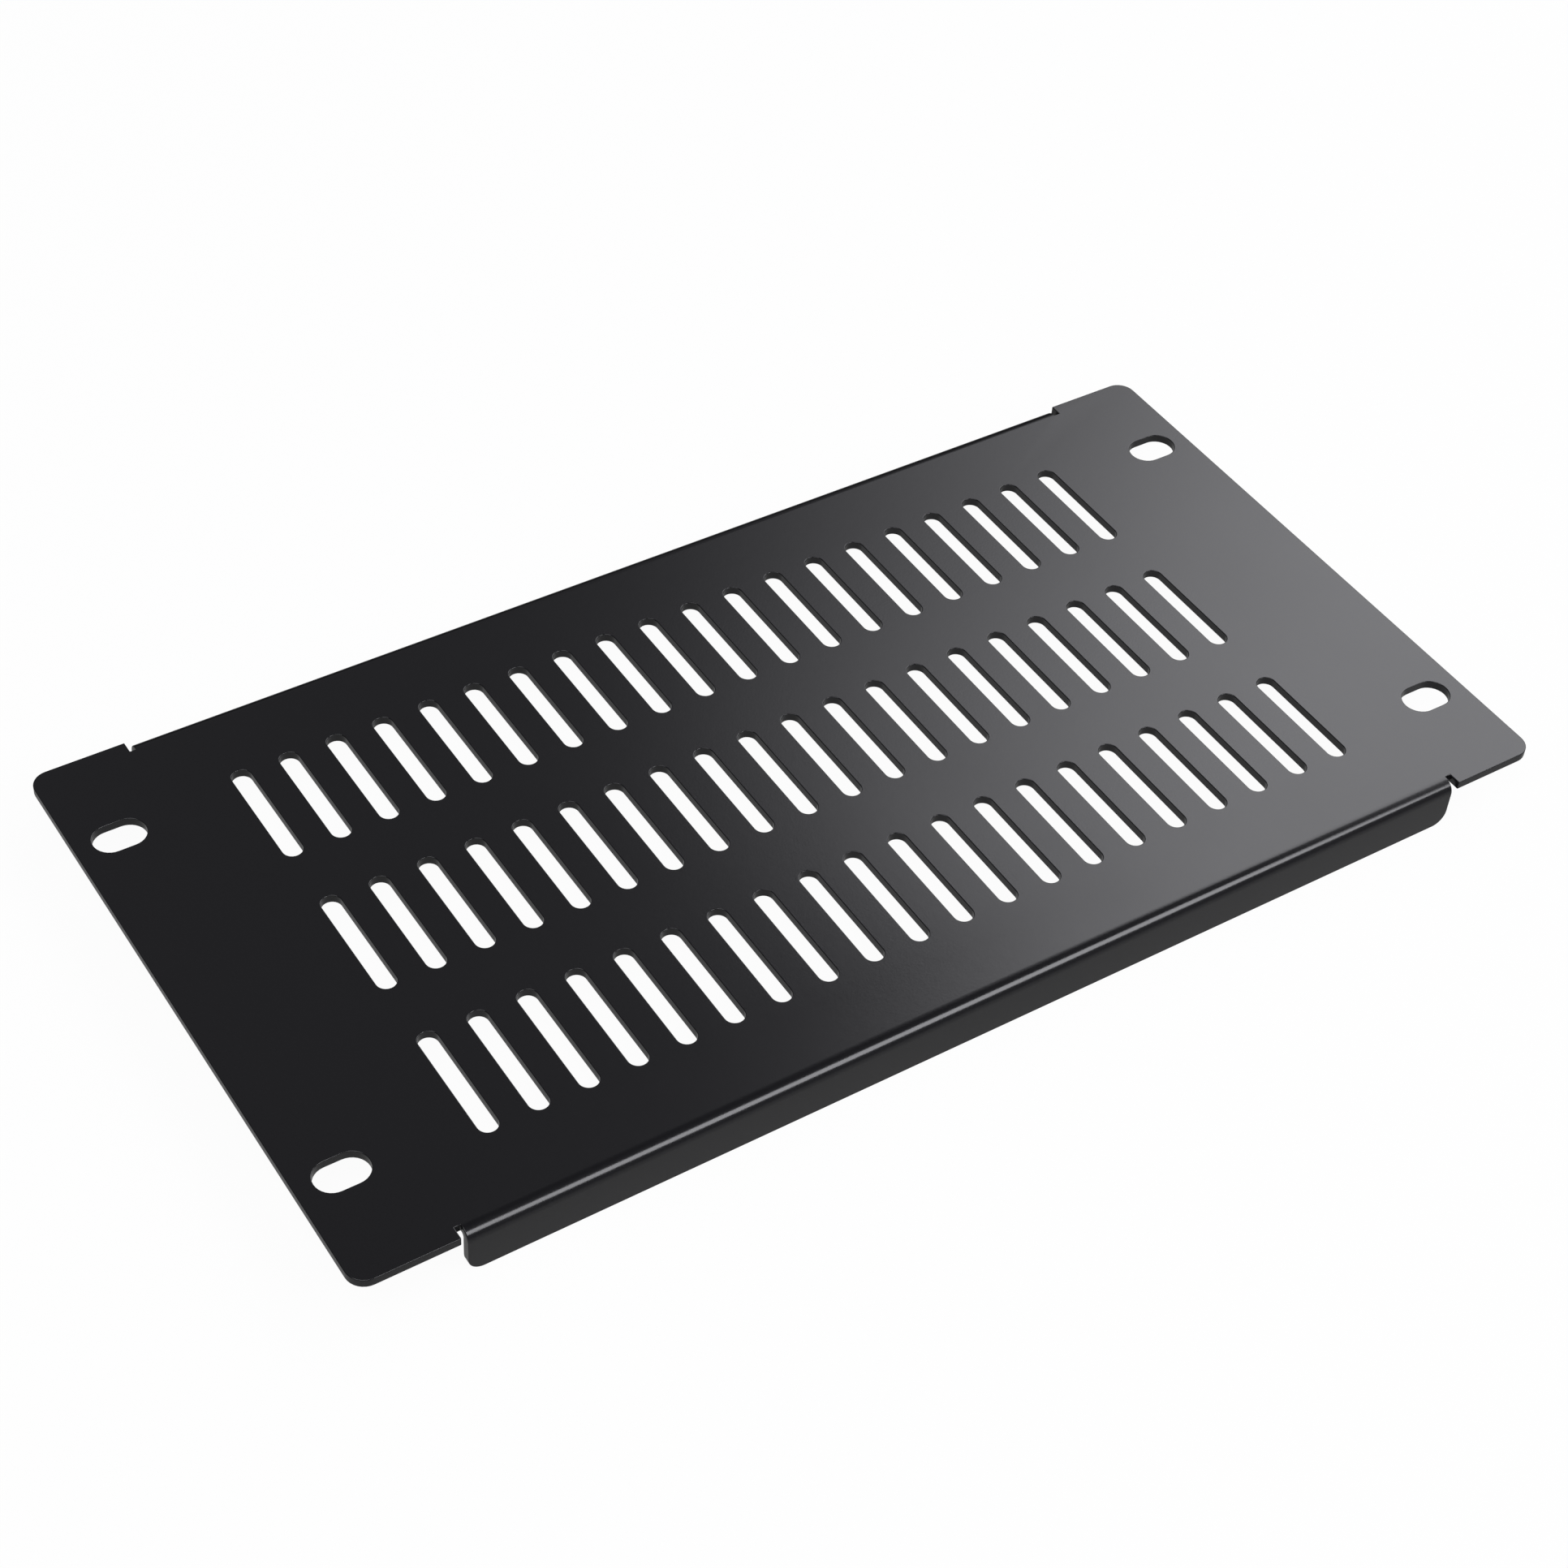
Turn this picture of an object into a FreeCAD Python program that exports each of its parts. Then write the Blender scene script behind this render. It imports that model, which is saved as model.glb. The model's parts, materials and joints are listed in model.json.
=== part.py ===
import FreeCAD, Part
import os

from FreeCAD import Vector

# Vented blanking panel for a 10 inch equipment rack, three rack units high.
# It is one sheet of coated steel. A long flange is folded back along each long edge, three rows of
# slots let air through the face, and a flat ear at each end takes two bolts in slotted holes.
# All sizes are in millimetres and are those of the finished, coated panel.
# X runs along the panel, Y is upwards when it is mounted, and Z points out of the front face.
# The panel lies face up: the origin is under its middle, level with the flanges' free edges.

# Outer size
PANEL_WIDTH = 254.0
PANEL_HEIGHT = 132.5
PANEL_DEPTH = 10.0

# Sheet and coat
SHEET_THICKNESS = 1.6
COAT_THICKNESS = 0.1
BEND_INSIDE_RADIUS = 0.7

# Ears, and the relief cut between each ear and the fold beside it
EAR_LENGTH = 19.3
EAR_CORNER_RADIUS = 3.6
RELIEF_WIDTH = 1.2
RELIEF_PAST_BEND = 0.1

# Free corners of the flanges
FLANGE_CORNER_RADIUS = 3.0

# Slotted bolt holes, one near each corner: how far their centres lie from the panel's edges
BOLT_INSET_X = 8.7375
BOLT_INSET_Y = 21.8
BOLT_SLOT_LENGTH = 10.3
BOLT_SLOT_WIDTH = 7.0

# Vent slots, the sheet left between them, and the least sheet left around the whole field
VENT_LENGTH = 25.0
VENT_WIDTH = 3.9
VENT_LAND_X = 5.85
VENT_LAND_Y = 11.8
VENT_FIELD_MARGIN_X = 9.0
VENT_FIELD_MARGIN_Y = 12.0

# Sizes that follow from the ones above
THICKNESS = SHEET_THICKNESS + 2 * COAT_THICKNESS
BEND_OUTSIDE_RADIUS = BEND_INSIDE_RADIUS + THICKNESS
RELIEF_DEPTH = BEND_OUTSIDE_RADIUS + RELIEF_PAST_BEND
BETWEEN_EARS = PANEL_WIDTH - 2 * EAR_LENGTH
FLANGE_LENGTH = BETWEEN_EARS - 2 * RELIEF_WIDTH
BOLT_SPACING_X = PANEL_WIDTH - 2 * BOLT_INSET_X
BOLT_SPACING_Y = PANEL_HEIGHT - 2 * BOLT_INSET_Y
VENT_PITCH_X = VENT_WIDTH + VENT_LAND_X
VENT_PITCH_Y = VENT_LENGTH + VENT_LAND_Y
FACE_BACK_Z = PANEL_DEPTH - THICKNESS
BEND_CENTRE_Z = PANEL_DEPTH - BEND_OUTSIDE_RADIUS

# How far a cutting tool runs past the sheet
OVERRUN = 1.0


def line(start, end):
    """One straight edge of an outline."""
    return Part.LineSegment(start, end).toShape()


def arc(start, middle, end):
    """One round edge of an outline, through three points."""
    return Part.Arc(start, middle, end).toShape()


def prism(edges, direction):
    """Solid swept from a closed outline along a straight direction."""
    return Part.Face(Part.Wire(edges)).extrude(direction)


def obround(length, width, height):
    """Slot-shaped solid with round ends, long way along X, centred on the Z axis, from Z = 0 up."""
    radius = width / 2
    half = length / 2 - radius
    edges = [
        line(Vector(-half, -radius, 0), Vector(half, -radius, 0)),
        arc(Vector(half, -radius, 0), Vector(half + radius, 0, 0), Vector(half, radius, 0)),
        line(Vector(half, radius, 0), Vector(-half, radius, 0)),
        arc(Vector(-half, radius, 0), Vector(-half - radius, 0, 0), Vector(-half, -radius, 0)),
    ]
    return prism(edges, Vector(0, 0, height))


def bend_point(centre_y, radius, side):
    """Middle of the quarter turn of one fold, on the given radius."""
    reach = radius / 2 ** 0.5
    return Vector(0, side * (centre_y + reach), BEND_CENTRE_Z + reach)


def folded_outline():
    """Cross-section of the sheet between the ears: the face with a flange folded back at each side."""
    outer_y = PANEL_HEIGHT / 2
    inner_y = outer_y - THICKNESS
    centre_y = outer_y - BEND_OUTSIDE_RADIUS
    right = [
        Vector(0, outer_y, 0),
        Vector(0, outer_y, BEND_CENTRE_Z),
        Vector(0, centre_y, PANEL_DEPTH),
        Vector(0, inner_y, 0),
        Vector(0, inner_y, BEND_CENTRE_Z),
        Vector(0, centre_y, FACE_BACK_Z),
    ]
    left = [Vector(0, -point.y, point.z) for point in right]
    edges = [line(right[2], left[2]), line(left[5], right[5])]
    for side, points in ((1, right), (-1, left)):
        edges.append(line(points[0], points[1]))
        edges.append(arc(points[1], bend_point(centre_y, BEND_OUTSIDE_RADIUS, side), points[2]))
        edges.append(line(points[3], points[4]))
        edges.append(arc(points[4], bend_point(centre_y, BEND_INSIDE_RADIUS, side), points[5]))
        edges.append(line(points[0], points[3]))
    return Part.__sortEdges__(edges)


def flange_side_view():
    """Solid as seen from the panel's long side: as long as the flanges, with their round free corners."""
    half = FLANGE_LENGTH / 2
    radius = min(FLANGE_CORNER_RADIUS, BEND_CENTRE_Z)
    corner = radius * (1 - 1 / 2 ** 0.5)
    y = -PANEL_HEIGHT
    edges = [
        line(Vector(-half + radius, y, 0), Vector(half - radius, y, 0)),
        arc(Vector(half - radius, y, 0), Vector(half - corner, y, corner), Vector(half, y, radius)),
        line(Vector(half, y, radius), Vector(half, y, PANEL_DEPTH)),
        line(Vector(half, y, PANEL_DEPTH), Vector(-half, y, PANEL_DEPTH)),
        line(Vector(-half, y, PANEL_DEPTH), Vector(-half, y, radius)),
        arc(Vector(-half, y, radius), Vector(-half + corner, y, corner), Vector(-half + radius, y, 0)),
    ]
    return prism(edges, Vector(0, 2 * PANEL_HEIGHT, 0))


def folded_part():
    """The folded stretch of the sheet between the two relief cuts of each long edge."""
    outline = Part.Face(Part.Wire(folded_outline()))
    outline.translate(Vector(-FLANGE_LENGTH / 2, 0, 0))
    return outline.extrude(Vector(FLANGE_LENGTH, 0, 0)).common(flange_side_view())


def flat_part():
    """The flat sheet: both ears at full height, and between them all that lies inside the folds."""
    sheet = Part.makeBox(
        PANEL_WIDTH, PANEL_HEIGHT, THICKNESS, Vector(-PANEL_WIDTH / 2, -PANEL_HEIGHT / 2, FACE_BACK_Z)
    )
    upright = [
        edge for edge in sheet.Edges if abs(edge.Vertexes[0].Z - edge.Vertexes[1].Z) > THICKNESS / 2
    ]
    sheet = sheet.makeFillet(EAR_CORNER_RADIUS, upright)
    strip = Part.makeBox(BETWEEN_EARS, RELIEF_DEPTH + OVERRUN, THICKNESS + 2 * OVERRUN)
    strips = []
    for y in (-PANEL_HEIGHT / 2 - OVERRUN, PANEL_HEIGHT / 2 - RELIEF_DEPTH):
        piece = strip.copy()
        piece.translate(Vector(-BETWEEN_EARS / 2, y, FACE_BACK_Z - OVERRUN))
        strips.append(piece)
    return sheet.cut(strips)


def placed(tool, x, y):
    """Copy of a slot tool set at one place on the face, running through the sheet."""
    copy = tool.copy()
    copy.translate(Vector(x, y, FACE_BACK_Z - OVERRUN))
    return copy


def centred_row(count, pitch):
    """Evenly spaced positions about zero."""
    return [(index - (count - 1) / 2) * pitch for index in range(count)]


def bolt_slots():
    """Four slotted bolt holes, long way along the panel."""
    tool = obround(BOLT_SLOT_LENGTH, BOLT_SLOT_WIDTH, THICKNESS + 2 * OVERRUN)
    slots = []
    for x in (-BOLT_SPACING_X / 2, BOLT_SPACING_X / 2):
        for y in (-BOLT_SPACING_Y / 2, BOLT_SPACING_Y / 2):
            slots.append(placed(tool, x, y))
    return slots


def vent_slots():
    """Vent slots, long way across the panel, as many rows and columns as the face has room for."""
    room_x = FLANGE_LENGTH - 2 * VENT_FIELD_MARGIN_X - VENT_WIDTH
    room_y = PANEL_HEIGHT - 2 * VENT_FIELD_MARGIN_Y - VENT_LENGTH
    columns = int(room_x / VENT_PITCH_X) + 1
    rows = int(room_y / VENT_PITCH_Y) + 1
    tool = obround(VENT_LENGTH, VENT_WIDTH, THICKNESS + 2 * OVERRUN)
    tool.rotate(Vector(0, 0, 0), Vector(0, 0, 1), 90)
    slots = []
    for x in centred_row(columns, VENT_PITCH_X):
        for y in centred_row(rows, VENT_PITCH_Y):
            slots.append(placed(tool, x, y))
    return slots


def blanking_panel():
    """The whole panel as one solid."""
    sheet = flat_part().fuse(folded_part()).removeSplitter()
    return sheet.cut(bolt_slots() + vent_slots())


os.makedirs("parts", exist_ok=True)
blanking_panel().Solids[0].exportStep("parts/panel.step")
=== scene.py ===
import json
import math

import bpy
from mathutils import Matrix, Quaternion, Vector


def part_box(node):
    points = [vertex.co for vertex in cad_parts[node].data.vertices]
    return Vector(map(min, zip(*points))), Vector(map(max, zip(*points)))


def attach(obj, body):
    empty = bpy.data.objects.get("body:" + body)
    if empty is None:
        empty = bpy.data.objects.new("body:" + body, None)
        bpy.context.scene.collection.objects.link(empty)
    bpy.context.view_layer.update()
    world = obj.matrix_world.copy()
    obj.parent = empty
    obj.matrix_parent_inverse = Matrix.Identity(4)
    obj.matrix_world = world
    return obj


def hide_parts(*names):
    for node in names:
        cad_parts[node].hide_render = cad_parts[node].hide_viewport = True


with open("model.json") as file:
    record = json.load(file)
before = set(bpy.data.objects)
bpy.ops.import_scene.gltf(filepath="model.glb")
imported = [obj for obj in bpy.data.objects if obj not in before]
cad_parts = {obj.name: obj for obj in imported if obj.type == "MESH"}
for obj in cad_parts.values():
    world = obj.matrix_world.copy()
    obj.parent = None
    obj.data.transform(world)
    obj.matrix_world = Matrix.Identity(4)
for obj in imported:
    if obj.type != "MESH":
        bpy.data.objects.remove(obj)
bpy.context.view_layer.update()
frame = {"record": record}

# Vented blanking panel, lying face up on a pale floor.
# All sizes are in metres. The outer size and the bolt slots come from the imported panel, whose
# record gives the slots in millimetres.
MM_PER_M = 1000

# Sheet with its coat, the outside radius of its bends, and the rounding of its edges
THICKNESS = 0.0018
BEND_RADIUS = 0.0025
EDGE_ROUNDING = 0.00016

# Ears and the relief cuts beside the folds
EAR_LENGTH = 0.0193
EAR_CORNER_RADIUS = 0.0036
RELIEF_WIDTH = 0.0012
RELIEF_DEPTH = 0.0026
FLANGE_CORNER_RADIUS = 0.003

# Bolt slots, one near each corner
BOLT_COLUMNS = 2
BOLT_ROWS = 2

# Vent slots
VENT_COLUMNS = 20
VENT_ROWS = 3
VENT_WIDTH = 0.0039
VENT_LENGTH = 0.025
VENT_PITCH_X = 0.00975
VENT_PITCH_Y = 0.0368

# Radius of a slot's round ends as a share of its width: a hair under a half, so that the two
# quarter turns of an end don't meet in one doubled point
SLOT_END_SHARE = 0.49999

# Points of the face's outline in each corner of the panel: two on the ear and two on the relief cut
CORNER_POINTS = 4

# What is added to a whole number before a node cuts off its fraction
ROUNDING_GUARD = 0.25

# How finely the curves are divided: a quarter turn of a corner, the bend, and a rounded edge
CORNER_STEPS = 8
BEND_STEPS = 10
EDGE_STEPS = 3

# Points closer than this are welded, and edges that turn by more than this are rounded
WELD_DISTANCE = 0.000002
SHARP_TURN = math.radians(40)

# Satin black powder coat, from its dark speckles to its light ones, and the lighter colour painted on its
# rounded edges and bends as a highlight
COAT_DARK = (0.0066, 0.0065, 0.0075)
COAT_LIGHT = (0.0090, 0.0089, 0.0101)
COAT_EDGE_HIGHLIGHT = (0.0200, 0.0200, 0.0215)
COAT_SMOOTHEST = 0.170
COAT_ROUGHEST = 0.195
COAT_IOR = 1.5

# Size of the coat's grain, of the soft waves under it and of its clouding, and how finely each of
# them is broken up
GRAIN_SIZE = 0.00042
WAVE_SIZE = 0.0024
CLOUD_SIZE = 0.030
NOISE_DETAIL = {"Grain size": 2.0, "Wave size": 1.0, "Cloud size": 3.0}
NOISE_ROUGHNESS = 0.55

# How far the pattern is moved on the panel, the waves' share of its height, how high it stands and
# how much of that the light shows
PATTERN_SHIFT = (0.31, 0.17, 0.05)
WAVE_SHARE = 0.35
GRAIN_HEIGHT = 0.00004
GRAIN_STRENGTH = 0.20

# Levels of the broad clouding between which the coat goes from smoothest to roughest
CLOUD_LOW = 0.25
CLOUD_HIGH = 0.75

# Painted highlight on rounded edges and bends: how far it shows, the tilts where it starts and is
# full, its least strength and how much the speckle adds to that
HIGHLIGHT_AMOUNT = 0.5
HIGHLIGHT_START = 0.02
HIGHLIGHT_FULL = 0.22
HIGHLIGHT_LEAST = 0.5
HIGHLIGHT_SPECKLE = 0.8

# Floor: its own colour, how much plain white the camera sees in it, and how bright the coat
# mirrors it beside the panel and from a given distance on
FLOOR_COLOUR = (0.80, 0.80, 0.80)
FLOOR_WHITE_SEEN = 0.96
FLOOR_SIZE = 24.0
MIRRORED_NEAR = 0.40
MIRRORED_FAR = 0.05
MIRRORED_REACH = 0.055

# How far the soft lights stand from the panel, and their slightly cool colour
LIGHT_DISTANCE = 2.0
LIGHT_TINT = (0.99, 0.99, 1.03)

# How bright the room round them is to the panel, as a share of the white that the camera sees
ROOM_LIGHT = 0.02

# Plain white, as a node takes it
WHITE = (1.0, 1.0, 1.0, 1.0)

# Camera, at the distance and turn of the photograph, with its lens and sensor in millimetres
CAMERA_PLACE = (-0.24568, -0.33668, 0.41305)
CAMERA_AIM = (-0.00558, -0.00339, 0.0100)
CAMERA_ROLL = math.radians(4.612)
CAMERA_LENS = 70.403
CAMERA_SENSOR = 36.0
CAMERA_NEAR = 0.01
CAMERA_FAR = 50.0

# Sockets of a Mix node by their number, for plain values and for colours: the two that it mixes
# and the one that it puts out
MIX_SOCKETS = {"FLOAT": (2, 3, 0), "RGBA": (6, 7, 2)}


# Small tools for making node trees

def add_node(tree, kind, inputs=(), **settings):
    """New node, with its settings made and each named input set or linked."""
    made = tree.nodes.new(kind)
    for name, value in settings.items():
        setattr(made, name, value)
    for key, value in dict(inputs).items():
        if isinstance(value, bpy.types.NodeSocket):
            tree.links.new(value, made.inputs[key])
        else:
            made.inputs[key].default_value = value
    return made


def calc(tree, operation, *values):
    """Result of one sum on numbers."""
    return add_node(tree, "ShaderNodeMath", enumerate(values), operation=operation).outputs[0]


def xyz(tree, **parts):
    """Vector made from its X, Y and Z, each zero where it isn't given."""
    return add_node(tree, "ShaderNodeCombineXYZ", parts).outputs[0]


def parts_of(tree, vector):
    """The X, Y and Z of a vector."""
    return add_node(tree, "ShaderNodeSeparateXYZ", {"Vector": vector}).outputs


def mixed(tree, kind, share, first, second):
    """Plain value or colour between two others."""
    low, high, result = MIX_SOCKETS[kind]
    mix = add_node(tree, "ShaderNodeMix", {"Factor": share, low: first, high: second}, data_type=kind)
    return mix.outputs[result]


def joined(tree, *shapes):
    """Several shapes as one."""
    whole = add_node(tree, "GeometryNodeJoinGeometry")
    for shape in shapes:
        tree.links.new(shape, whole.inputs[0])
    return whole.outputs[0]


def new_tree(name, kind, inputs, outputs):
    """Empty node group with named sockets: the tree, what comes in, and what goes out."""
    tree = bpy.data.node_groups.new(name, kind)
    for label, socket in inputs:
        tree.interface.new_socket(label, in_out="INPUT", socket_type="NodeSocket" + socket)
    for label, socket in outputs:
        tree.interface.new_socket(label, in_out="OUTPUT", socket_type="NodeSocket" + socket)
    given = tree.nodes.new("NodeGroupInput").outputs
    result = tree.nodes.new("NodeGroupOutput").inputs
    return tree, given, result


def cleared_tree(owner):
    """Node tree of a material, a light or the world, with nothing in it yet."""
    owner.use_nodes = True
    owner.node_tree.nodes.clear()
    return owner.node_tree


# The sheet: slots, outline, fold

def slot_field_tree():
    """Round-ended slots in columns and rows, as curves on the ground."""
    tree, given, result = new_tree(
        "Slot field",
        "GeometryNodeTree",
        [
            ("Columns", "Int"), ("Rows", "Int"), ("Pitch X", "Float"), ("Pitch Y", "Float"),
            ("Slot size X", "Float"), ("Slot size Y", "Float"), ("Corner steps", "Int"),
        ],
        [("Slots", "Geometry")],
    )
    spread = {}
    for axis, count in (("X", "Columns"), ("Y", "Rows")):
        gaps = calc(tree, "SUBTRACT", given[count], 1.0)
        spread[axis] = calc(tree, "MULTIPLY", gaps, given["Pitch " + axis])
    places = add_node(tree, "GeometryNodeMeshGrid", {
        "Size X": spread["X"], "Size Y": spread["Y"],
        "Vertices X": given["Columns"], "Vertices Y": given["Rows"],
    })
    box = add_node(tree, "GeometryNodeCurvePrimitiveQuadrilateral", {
        "Width": given["Slot size X"], "Height": given["Slot size Y"],
    })
    narrow = calc(tree, "MINIMUM", given["Slot size X"], given["Slot size Y"])
    slot = add_node(tree, "GeometryNodeFilletCurve", {
        "Curve": box.outputs["Curve"], "Count": given["Corner steps"],
        "Radius": calc(tree, "MULTIPLY", narrow, SLOT_END_SHARE),
    }, mode="POLY")
    copies = add_node(tree, "GeometryNodeInstanceOnPoints", {
        "Points": places.outputs["Mesh"], "Instance": slot.outputs["Curve"],
    })
    real = add_node(tree, "GeometryNodeRealizeInstances", {"Geometry": copies.outputs["Instances"]})
    tree.links.new(real.outputs["Geometry"], result["Slots"])
    return tree


def outline_numbers(tree):
    """Which corner of the panel a point of the outline is in, and which of its points it is.

    Every second corner is walked backwards, because it is a mirror image of the one before.
    """
    number = add_node(tree, "GeometryNodeInputIndex").outputs[0]
    guarded = calc(tree, "ADD", number, ROUNDING_GUARD)
    corner = calc(tree, "FLOOR", calc(tree, "DIVIDE", guarded, CORNER_POINTS))
    along = calc(tree, "SUBTRACT", number, calc(tree, "MULTIPLY", corner, CORNER_POINTS))
    backwards = calc(tree, "MODULO", corner, 2.0)
    turned = calc(tree, "MULTIPLY_ADD", along, -2.0, CORNER_POINTS - 1)
    return corner, calc(tree, "MULTIPLY_ADD", backwards, turned, along)


def corner_sides(tree, corner):
    """Signs that mirror the upper right corner into the given one."""
    half_turns = calc(tree, "FLOOR", calc(tree, "MULTIPLY", calc(tree, "ADD", corner, 1.0), 0.5))
    left = calc(tree, "MODULO", half_turns, 2.0)
    lower = calc(tree, "FLOOR", calc(tree, "MULTIPLY", corner, 0.5))
    sign_x = calc(tree, "MULTIPLY_ADD", left, -2.0, 1.0)
    sign_y = calc(tree, "MULTIPLY_ADD", lower, -2.0, 1.0)
    return xyz(tree, X=sign_x, Y=sign_y)


def face_outline_tree():
    """Outline of the flat face: two ears, and a relief cut at each end of both bends.

    Four points make the corner of an ear and the relief cut beside it. They are mirrored
    into the four corners of the face by each point's number.
    """
    tree, given, result = new_tree(
        "Face outline",
        "GeometryNodeTree",
        [
            ("Width", "Float"), ("Height", "Float"), ("Ear length", "Float"),
            ("Ear corner radius", "Float"), ("Relief width", "Float"), ("Relief depth", "Float"),
            ("Corner steps", "Int"),
        ],
        [("Outline", "Geometry")],
    )
    end_x = calc(tree, "MULTIPLY", given["Width"], 0.5)
    ear_x = calc(tree, "SUBTRACT", end_x, given["Ear length"])
    bend_x = calc(tree, "SUBTRACT", ear_x, given["Relief width"])
    edge_y = calc(tree, "MULTIPLY", given["Height"], 0.5)
    relief_y = calc(tree, "SUBTRACT", edge_y, given["Relief depth"])
    corner_points = ((end_x, edge_y), (ear_x, edge_y), (ear_x, relief_y), (bend_x, relief_y))

    corner, step = outline_numbers(tree)
    point = add_node(tree, "GeometryNodeIndexSwitch", data_type="VECTOR")
    # A new switch has two places, and one more is made for each further point
    for _ in corner_points[2:]:
        point.index_switch_items.new()
    tree.links.new(calc(tree, "ADD", step, ROUNDING_GUARD), point.inputs["Index"])
    for number, (x, y) in enumerate(corner_points, start=1):
        tree.links.new(xyz(tree, X=x, Y=y), point.inputs[number])
    mirrored = add_node(tree, "ShaderNodeVectorMath", {
        0: point.outputs[0], 1: corner_sides(tree, corner),
    }, operation="MULTIPLY")

    ring = add_node(tree, "GeometryNodeMeshCircle", {"Vertices": 4 * CORNER_POINTS})
    shaped = add_node(tree, "GeometryNodeSetPosition", {
        "Geometry": ring.outputs["Mesh"], "Position": mirrored.outputs[0],
    })
    curve = add_node(tree, "GeometryNodeMeshToCurve", {"Mesh": shaped.outputs["Geometry"]})
    at = parts_of(tree, add_node(tree, "GeometryNodeInputPosition").outputs[0])
    ear_middle = calc(tree, "MULTIPLY_ADD", given["Ear length"], 0.5, ear_x)
    on_end = calc(tree, "GREATER_THAN", calc(tree, "ABSOLUTE", at["X"]), ear_middle)
    outline = add_node(tree, "GeometryNodeFilletCurve", {
        "Curve": curve.outputs["Curve"], "Count": given["Corner steps"],
        "Radius": calc(tree, "MULTIPLY", on_end, given["Ear corner radius"]),
    }, mode="POLY")
    tree.links.new(outline.outputs["Curve"], result["Outline"])
    return tree


def flange_tree():
    """One flange with its bend, on the panel's upper long side, as seen from outside the sheet."""
    tree, given, result = new_tree(
        "Flange",
        "GeometryNodeTree",
        [
            ("Length", "Float"), ("Height", "Float"), ("Depth", "Float"), ("Bend radius", "Float"),
            ("Relief depth", "Float"), ("Corner radius", "Float"), ("Corner steps", "Int"),
            ("Bend steps", "Int"),
        ],
        [("Flange", "Geometry")],
    )
    edge_y = calc(tree, "MULTIPLY", given["Height"], 0.5)
    centre_y = calc(tree, "SUBTRACT", edge_y, given["Bend radius"])
    centre_z = calc(tree, "SUBTRACT", given["Depth"], given["Bend radius"])
    at = parts_of(tree, add_node(tree, "GeometryNodeInputPosition").outputs[0])

    # The bend starts as a flat strip one metre across. How far across it a point lies is how far
    # round the arc it goes. The first row is moved back to where the face ends, at the inner end
    # of the relief cuts.
    strip = add_node(tree, "GeometryNodeMeshGrid", {
        "Size X": given["Length"], "Size Y": 1.0,
        "Vertices X": 2, "Vertices Y": calc(tree, "ADD", given["Bend steps"], 1.0),
    })
    share = calc(tree, "ADD", at["Y"], 0.5)
    turn = calc(tree, "MULTIPLY", share, math.pi / 2)
    out = calc(tree, "MULTIPLY_ADD", calc(tree, "SINE", turn), given["Bend radius"], centre_y)
    up = calc(tree, "MULTIPLY_ADD", calc(tree, "COSINE", turn), given["Bend radius"], centre_z)
    first = calc(tree, "LESS_THAN", calc(tree, "MULTIPLY", share, given["Bend steps"]), 0.5)
    start_y = calc(tree, "SUBTRACT", edge_y, given["Relief depth"])
    back = calc(tree, "MULTIPLY", first, calc(tree, "SUBTRACT", start_y, out))
    bend = add_node(tree, "GeometryNodeSetPosition", {
        "Geometry": strip.outputs["Mesh"],
        "Position": xyz(tree, X=at["X"], Y=calc(tree, "ADD", out, back), Z=up),
    })

    # The flat wall is cut on the ground, with its free edge towards +Y, and then stood up
    plate = add_node(tree, "GeometryNodeCurvePrimitiveQuadrilateral", {
        "Width": given["Length"], "Height": centre_z,
    })
    free_edge = calc(tree, "GREATER_THAN", at["Y"], 0.0)
    cut = add_node(tree, "GeometryNodeFilletCurve", {
        "Curve": plate.outputs["Curve"], "Count": given["Corner steps"],
        "Radius": calc(tree, "MULTIPLY", free_edge, given["Corner radius"]),
    }, mode="POLY")
    filled = add_node(tree, "GeometryNodeFillCurve", {"Curve": cut.outputs["Curve"]}, mode="NGONS")
    wall = add_node(tree, "GeometryNodeTransform", {
        "Geometry": filled.outputs["Mesh"], "Rotation": (-math.pi / 2, 0.0, 0.0),
        "Translation": xyz(tree, Y=edge_y, Z=calc(tree, "MULTIPLY", centre_z, 0.5)),
    })
    both = joined(tree, bend.outputs["Geometry"], wall.outputs["Geometry"])
    tree.links.new(both, result["Flange"])
    return tree


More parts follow.
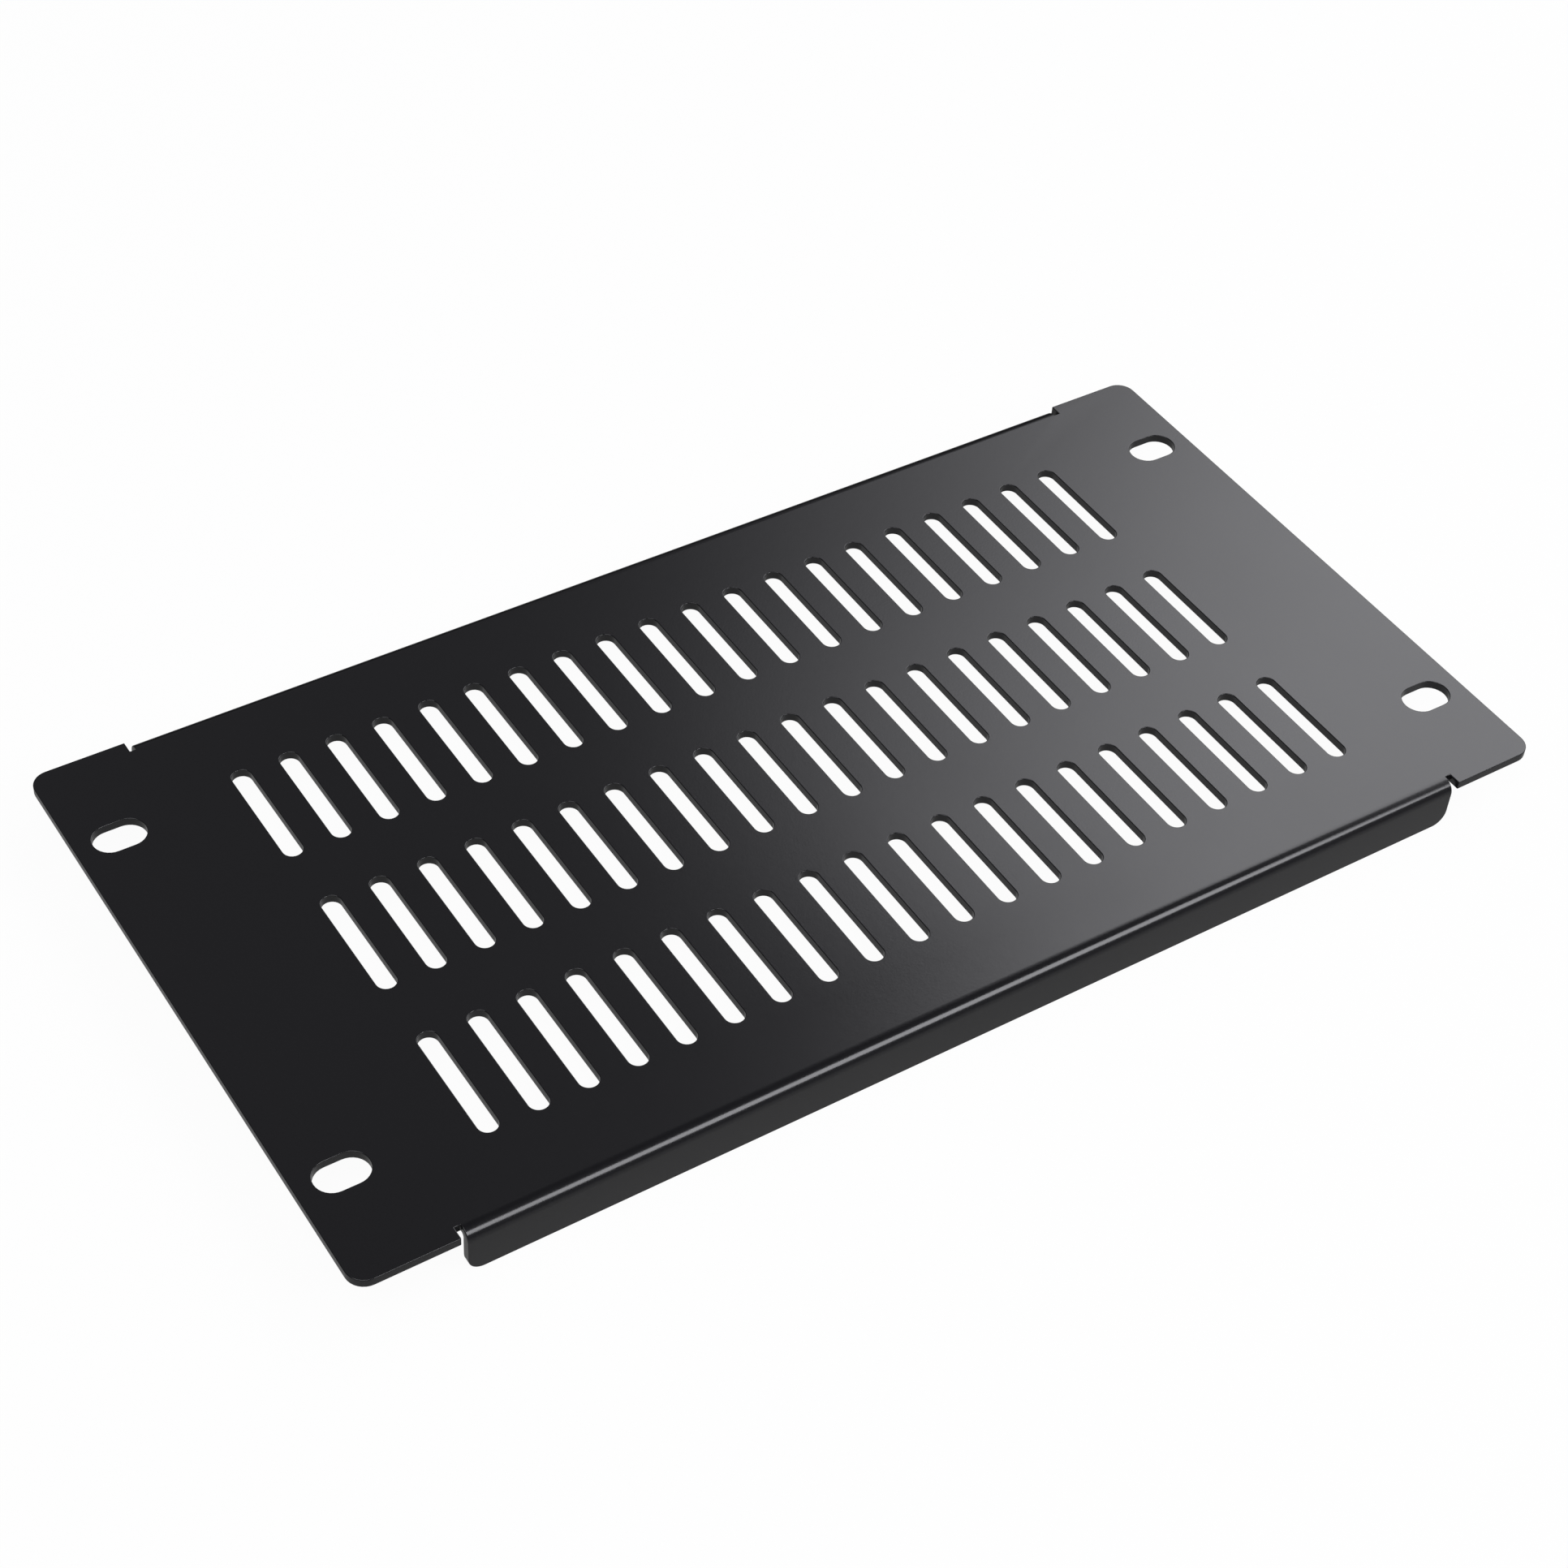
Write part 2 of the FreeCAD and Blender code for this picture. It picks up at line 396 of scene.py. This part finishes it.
def folded_panel_tree(slot_field, face_outline, flange):
    """Outer surface of the whole panel: the slotted face with a flange folded back at each long side."""
    sizes = [
        "Width", "Height", "Depth", "Bend radius", "Ear length", "Ear corner radius", "Relief width",
        "Relief depth", "Flange corner radius", "Bolt spacing X", "Bolt spacing Y", "Bolt slot length",
        "Bolt slot width", "Vent pitch X", "Vent pitch Y", "Vent width", "Vent length",
    ]
    counts = ["Bolt columns", "Bolt rows", "Vent columns", "Vent rows", "Corner steps", "Bend steps"]
    tree, given, result = new_tree(
        "Folded panel",
        "GeometryNodeTree",
        [("Start", "Geometry")] + [(name, "Float") for name in sizes]
        + [(name, "Int") for name in counts] + [("Coat", "Material")],
        [("Panel", "Geometry")],
    )
    outline = add_node(tree, "GeometryNodeGroup", {
        "Width": given["Width"], "Height": given["Height"],
        "Ear length": given["Ear length"], "Ear corner radius": given["Ear corner radius"],
        "Relief width": given["Relief width"], "Relief depth": given["Relief depth"],
        "Corner steps": given["Corner steps"],
    }, node_tree=face_outline)
    vents = add_node(tree, "GeometryNodeGroup", {
        "Columns": given["Vent columns"], "Rows": given["Vent rows"],
        "Pitch X": given["Vent pitch X"], "Pitch Y": given["Vent pitch Y"],
        "Slot size X": given["Vent width"], "Slot size Y": given["Vent length"],
        "Corner steps": given["Corner steps"],
    }, node_tree=slot_field)
    bolts = add_node(tree, "GeometryNodeGroup", {
        "Columns": given["Bolt columns"], "Rows": given["Bolt rows"],
        "Pitch X": given["Bolt spacing X"], "Pitch Y": given["Bolt spacing Y"],
        "Slot size X": given["Bolt slot length"], "Slot size Y": given["Bolt slot width"],
        "Corner steps": given["Corner steps"],
    }, node_tree=slot_field)
    edges = joined(tree, bolts.outputs[0], vents.outputs[0], outline.outputs[0])
    face = add_node(tree, "GeometryNodeFillCurve", {"Curve": edges}, mode="NGONS")
    raised = add_node(tree, "GeometryNodeTransform", {
        "Geometry": face.outputs["Mesh"], "Translation": xyz(tree, Z=given["Depth"]),
    })

    ears = calc(tree, "MULTIPLY", calc(tree, "ADD", given["Ear length"], given["Relief width"]), 2.0)
    upper = add_node(tree, "GeometryNodeGroup", {
        "Length": calc(tree, "SUBTRACT", given["Width"], ears),
        "Height": given["Height"], "Depth": given["Depth"], "Bend radius": given["Bend radius"],
        "Relief depth": given["Relief depth"], "Corner radius": given["Flange corner radius"],
        "Corner steps": given["Corner steps"], "Bend steps": given["Bend steps"],
    }, node_tree=flange)
    lower = add_node(tree, "GeometryNodeTransform", {
        "Geometry": upper.outputs[0], "Rotation": (0.0, 0.0, math.pi),
    })
    sheet = joined(tree, lower.outputs["Geometry"], upper.outputs[0], raised.outputs["Geometry"])
    welded = add_node(tree, "GeometryNodeMergeByDistance", {
        "Geometry": sheet, "Distance": WELD_DISTANCE,
    })
    smooth = add_node(tree, "GeometryNodeSetShadeSmooth", {"Geometry": welded.outputs["Geometry"]})
    real = add_node(tree, "GeometryNodeRealizeInstances", {"Geometry": smooth.outputs["Geometry"]})
    coated = add_node(tree, "GeometryNodeSetMaterial", {
        "Geometry": real.outputs["Geometry"], "Material": given["Coat"],
    })
    tree.links.new(coated.outputs["Geometry"], result["Panel"])
    return tree


def set_inputs(modifier, values):
    """Gives a node modifier its values, each by its socket's own identifier."""
    sockets = modifier.node_group.interface.items_tree
    for socket in sockets:
        if socket.in_out == "INPUT" and socket.name in values:
            modifier[socket.identifier] = values[socket.name]


def panel_values(coat):
    """Every size that the sheet is made from."""
    low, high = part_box("panel")
    bolts = next(mount for mount in frame["record"]["mounts"] if mount["name"] == "rail_bolts")["dims"]
    return {
        "Width": high.x - low.x,
        "Height": high.y - low.y,
        "Depth": high.z - low.z,
        "Bend radius": BEND_RADIUS,
        "Ear length": EAR_LENGTH,
        "Ear corner radius": EAR_CORNER_RADIUS,
        "Relief width": RELIEF_WIDTH,
        "Relief depth": RELIEF_DEPTH,
        "Flange corner radius": FLANGE_CORNER_RADIUS,
        "Bolt columns": BOLT_COLUMNS,
        "Bolt rows": BOLT_ROWS,
        "Bolt spacing X": bolts["spacing_x_mm"] / MM_PER_M,
        "Bolt spacing Y": bolts["spacing_y_mm"] / MM_PER_M,
        "Bolt slot length": bolts["slot_length_mm"] / MM_PER_M,
        "Bolt slot width": 2 * bolts["hole_r_mm"] / MM_PER_M,
        "Vent columns": VENT_COLUMNS,
        "Vent rows": VENT_ROWS,
        "Vent pitch X": VENT_PITCH_X,
        "Vent pitch Y": VENT_PITCH_Y,
        "Vent width": VENT_WIDTH,
        "Vent length": VENT_LENGTH,
        "Corner steps": CORNER_STEPS,
        "Bend steps": BEND_STEPS,
        "Coat": coat,
    }


def finish_edges(piece):
    """Gives the sheet its thickness, and the soft edges that a coat leaves on it."""
    sheet = piece.modifiers.new("Sheet", "SOLIDIFY")
    sheet.thickness = THICKNESS
    sheet.offset = -1.0
    sheet.use_even_offset = True
    sheet.use_quality_normals = True
    edges = piece.modifiers.new("Coated edges", "BEVEL")
    edges.width = EDGE_ROUNDING
    edges.segments = EDGE_STEPS
    edges.limit_method = "ANGLE"
    edges.angle_limit = SHARP_TURN
    edges.use_clamp_overlap = False
    edges.loop_slide = False
    flats = piece.modifiers.new("Flat faces", "WEIGHTED_NORMAL")
    flats.mode = "FACE_AREA"
    flats.keep_sharp = False


def plain_mesh(piece):
    """Turns what the modifiers make into the piece's own mesh."""
    evaluated = piece.evaluated_get(bpy.context.evaluated_depsgraph_get())
    mesh = bpy.data.meshes.new_from_object(evaluated)
    piece.modifiers.clear()
    piece.data = mesh


def press_flat(mesh, top):
    """Presses the few points that edge rounding lifts above the face back down to it."""
    for vertex in mesh.vertices:
        vertex.co.z = min(vertex.co.z, top)


def make_panel(coat):
    """The folded, slotted and coated panel as one piece."""
    piece = bpy.data.objects.new("folded_panel", bpy.data.meshes.new("folded_panel"))
    bpy.context.scene.collection.objects.link(piece)
    shape = piece.modifiers.new("Folded panel", "NODES")
    shape.node_group = folded_panel_tree(slot_field_tree(), face_outline_tree(), flange_tree())
    set_inputs(shape, panel_values(coat))
    finish_edges(piece)
    plain_mesh(piece)
    press_flat(piece.data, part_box("panel")[1].z)
    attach(piece, "root")
    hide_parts("panel")


# Surface finish

def powder_grain_group():
    """Uneven surface of a baked powder coat: fine grain, the soft waves under it, and broad clouding."""
    tree, given, result = new_tree(
        "Powder grain",
        "ShaderNodeTree",
        [
            ("Vector", "Vector"), ("Grain size", "Float"), ("Wave size", "Float"),
            ("Cloud size", "Float"), ("Wave share", "Float"),
        ],
        [("Height", "Float"), ("Speckle", "Float"), ("Cloud", "Float")],
    )
    layers = {}
    for name, detail in NOISE_DETAIL.items():
        layers[name] = add_node(tree, "ShaderNodeTexNoise", {
            "Vector": given["Vector"], "Scale": calc(tree, "DIVIDE", 1.0, given[name]),
            "Detail": detail, "Roughness": NOISE_ROUGHNESS,
        }).outputs["Fac"]
    height = mixed(tree, "FLOAT", given["Wave share"], layers["Grain size"], layers["Wave size"])
    tree.links.new(height, result["Height"])
    tree.links.new(layers["Grain size"], result["Speckle"])
    tree.links.new(layers["Cloud size"], result["Cloud"])
    return tree


def painted_highlight_group():
    """Mask for the painted highlight on the rounded edges and the bends, which lightens their colour.

    They are found by their tilt, because the rest of the sheet faces straight up, down or
    sideways. The mask is broken up by the speckle.
    """
    tree, given, result = new_tree(
        "Painted edge highlight",
        "ShaderNodeTree",
        [("Normal", "Vector"), ("Speckle", "Float"), ("Amount", "Float")],
        [("Mask", "Float")],
    )
    upright = calc(tree, "ABSOLUTE", parts_of(tree, given["Normal"])["Z"])
    tilt = calc(tree, "MULTIPLY", upright, calc(tree, "SUBTRACT", 1.0, upright))
    ramp = add_node(tree, "ShaderNodeMapRange", {
        "Value": tilt, "From Min": HIGHLIGHT_START, "From Max": HIGHLIGHT_FULL, "To Min": 0.0, "To Max": 1.0,
    }, interpolation_type="SMOOTHSTEP")
    strength = calc(tree, "MULTIPLY_ADD", given["Speckle"], HIGHLIGHT_SPECKLE, HIGHLIGHT_LEAST)
    broken = calc(tree, "MULTIPLY", ramp.outputs[0], strength)
    mask = calc(tree, "MULTIPLY", broken, given["Amount"])
    tree.links.new(add_node(tree, "ShaderNodeClamp", {"Value": mask}).outputs[0], result["Mask"])
    return tree


def powder_coat(grain_group, highlight_group):
    """Fine satin black powder coat."""
    material = bpy.data.materials.new("powder_coat")
    tree = cleared_tree(material)
    where = add_node(tree, "ShaderNodeTexCoord")
    placed = add_node(tree, "ShaderNodeMapping", {
        "Vector": where.outputs["Object"], "Location": PATTERN_SHIFT,
    })
    grain = add_node(tree, "ShaderNodeGroup", {
        "Vector": placed.outputs[0], "Grain size": GRAIN_SIZE, "Wave size": WAVE_SIZE,
        "Cloud size": CLOUD_SIZE, "Wave share": WAVE_SHARE,
    }, node_tree=grain_group)
    # Painted highlight: a mask that lightens the colour of the rounded edges and bends
    edges = add_node(tree, "ShaderNodeGroup", {
        "Normal": where.outputs["Normal"], "Speckle": grain.outputs["Speckle"], "Amount": HIGHLIGHT_AMOUNT,
    }, node_tree=highlight_group)
    tone = mixed(tree, "RGBA", grain.outputs["Speckle"], (*COAT_DARK, 1.0), (*COAT_LIGHT, 1.0))
    rough = add_node(tree, "ShaderNodeMapRange", {
        "Value": grain.outputs["Cloud"], "From Min": CLOUD_LOW, "From Max": CLOUD_HIGH,
        "To Min": COAT_SMOOTHEST, "To Max": COAT_ROUGHEST,
    })
    bump = add_node(tree, "ShaderNodeBump", {
        "Strength": GRAIN_STRENGTH, "Distance": GRAIN_HEIGHT, "Height": grain.outputs["Height"],
    })
    # The base colour carries the painted highlight on the rounded edges and bends
    shader = add_node(tree, "ShaderNodeBsdfPrincipled", {
        "Base Color": mixed(tree, "RGBA", edges.outputs["Mask"], tone, (*COAT_EDGE_HIGHLIGHT, 1.0)),
        "Roughness": rough.outputs[0], "Normal": bump.outputs[0], "IOR": COAT_IOR,
    })
    add_node(tree, "ShaderNodeOutputMaterial", {"Surface": shader.outputs[0]})
    return material


# Studio: floor, lights, camera

def distance_from_panel(tree):
    """How far a place on the floor lies outside the panel's outline."""
    where = add_node(tree, "ShaderNodeTexCoord")
    at = parts_of(tree, where.outputs["Object"])
    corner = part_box("panel")[1]
    squares = []
    for axis, edge in (("X", corner.x), ("Y", corner.y)):
        beyond = calc(tree, "SUBTRACT", calc(tree, "ABSOLUTE", at[axis]), edge)
        squares.append(calc(tree, "POWER", calc(tree, "MAXIMUM", beyond, 0.0), 2.0))
    return calc(tree, "SQRT", calc(tree, "ADD", *squares))


def floor_material():
    """Plain pale floor. The camera sees it white, with a share left for the panel's shadow.

    The coat mirrors it as a soft grey that is darker further out.
    """
    material = bpy.data.materials.new("pale_floor")
    tree = cleared_tree(material)
    rays = add_node(tree, "ShaderNodeLightPath")
    direct = calc(tree, "MAXIMUM", rays.outputs["Is Camera Ray"], rays.outputs["Is Transmission Ray"])
    matt = add_node(tree, "ShaderNodeBsdfDiffuse", {"Color": (*FLOOR_COLOUR, 1.0)})
    white = add_node(tree, "ShaderNodeEmission", {"Color": WHITE, "Strength": 1.0})
    seen = add_node(tree, "ShaderNodeMixShader", {
        0: calc(tree, "MULTIPLY", direct, FLOOR_WHITE_SEEN), 1: matt.outputs[0], 2: white.outputs[0],
    })
    level = add_node(tree, "ShaderNodeMapRange", {
        "Value": distance_from_panel(tree), "From Min": 0.0, "From Max": MIRRORED_REACH,
        "To Min": MIRRORED_NEAR, "To Max": MIRRORED_FAR,
    })
    grey = add_node(tree, "ShaderNodeEmission", {"Color": WHITE, "Strength": level.outputs[0]})
    floor = add_node(tree, "ShaderNodeMixShader", {
        0: rays.outputs["Is Glossy Ray"], 1: seen.outputs[0], 2: grey.outputs[0],
    })
    add_node(tree, "ShaderNodeOutputMaterial", {"Surface": floor.outputs[0]})
    return material


def pale_floor():
    """Wide flat floor under the panel."""
    mesh = bpy.data.meshes.new("floor")
    half = FLOOR_SIZE / 2
    corners = [(-half, -half, 0), (half, -half, 0), (half, half, 0), (-half, half, 0)]
    mesh.from_pydata(corners, [], [(0, 1, 2, 3)])
    mesh.materials.append(floor_material())
    floor = bpy.data.objects.new("floor", mesh)
    bpy.context.scene.collection.objects.link(floor)


def dim_room():
    """The room round the lights: white to the camera, dim to the panel."""
    world = bpy.data.worlds.new("studio")
    tree = cleared_tree(world)
    rays = add_node(tree, "ShaderNodeLightPath")
    strength = add_node(tree, "ShaderNodeMapRange", {
        "Value": rays.outputs["Is Camera Ray"], "To Min": ROOM_LIGHT, "To Max": 1.0,
    })
    back = add_node(tree, "ShaderNodeBackground", {"Color": WHITE, "Strength": strength.outputs[0]})
    add_node(tree, "ShaderNodeOutputWorld", {"Surface": back.outputs[0]})
    bpy.context.scene.world = world


def fade_out(light, share):
    """Lets a light grow dim towards its left end, as the panel sees it, over a share of its width."""
    tree = cleared_tree(light)
    spot = add_node(tree, "ShaderNodeNewGeometry").outputs["Parametric"]
    from_left = calc(tree, "SUBTRACT", 1.0, parts_of(tree, spot)["X"])
    strength = add_node(tree, "ShaderNodeMapRange", {
        "Value": from_left, "From Min": 0.0, "From Max": share,
    }, interpolation_type="SMOOTHSTEP")
    glow = add_node(tree, "ShaderNodeEmission", {"Color": WHITE, "Strength": strength.outputs[0]})
    add_node(tree, "ShaderNodeOutputLight", {"Surface": glow.outputs[0]})


def softbox(name, azimuth, elevation, wide, high, radiance, fade=0.0):
    """Rectangular soft light that faces the panel.

    Azimuth is turned from +Y towards +X and elevation is up from the floor. Wide and high are
    the angles that the light fills as seen from the panel. All four are in degrees. Radiance is
    how bright its face is. Fade is the share of its width over which it fades out.
    """
    around = math.radians(azimuth)
    up = math.radians(elevation)
    out = Vector((math.cos(up) * math.sin(around), math.cos(up) * math.cos(around), math.sin(up)))
    light = bpy.data.lights.new(name, "AREA")
    light.shape = "RECTANGLE"
    light.size = 2 * LIGHT_DISTANCE * math.tan(math.radians(wide / 2))
    light.size_y = 2 * LIGHT_DISTANCE * math.tan(math.radians(high / 2))
    light.energy = radiance * light.size * light.size_y * math.pi
    light.color = LIGHT_TINT
    if fade:
        fade_out(light, fade)
    lamp = bpy.data.objects.new(name, light)
    lamp.location = out * LIGHT_DISTANCE
    lamp.rotation_mode = "QUATERNION"
    lamp.rotation_quaternion = (-out).to_track_quat("-Z", "Y")
    bpy.context.scene.collection.objects.link(lamp)


def make_lights():
    """Soft lights to the right of the panel, behind it and in front, a dim one at the back, and a fill."""
    softbox("back_right_light", azimuth=72.5, elevation=38.5, wide=63, high=28, radiance=3.4, fade=0.29)
    softbox("front_right_light", azimuth=151, elevation=37, wide=30, high=25, radiance=6.6)
    softbox("back_left_light", azimuth=8, elevation=42, wide=46, high=40, radiance=0.15)
    softbox("left_fill_light", azimuth=-125, elevation=64, wide=44, high=34, radiance=3.2)


def make_camera():
    """Camera at the photograph's angle, with its slight roll."""
    camera = bpy.data.objects.new("camera", bpy.data.cameras.new("camera"))
    bpy.context.scene.collection.objects.link(camera)
    camera.data.sensor_width = CAMERA_SENSOR
    camera.data.lens = CAMERA_LENS
    camera.data.clip_start = CAMERA_NEAR
    camera.data.clip_end = CAMERA_FAR
    camera.location = CAMERA_PLACE
    view = (Vector(CAMERA_AIM) - Vector(CAMERA_PLACE)).normalized()
    roll = Quaternion((0.0, 0.0, 1.0), CAMERA_ROLL)
    camera.rotation_mode = "QUATERNION"
    camera.rotation_quaternion = view.to_track_quat("-Z", "Y") @ roll
    bpy.context.scene.camera = camera


bpy.context.scene.view_settings.view_transform = "Standard"
make_panel(powder_coat(powder_grain_group(), painted_highlight_group()))
pale_floor()
dim_room()
make_lights()
make_camera()
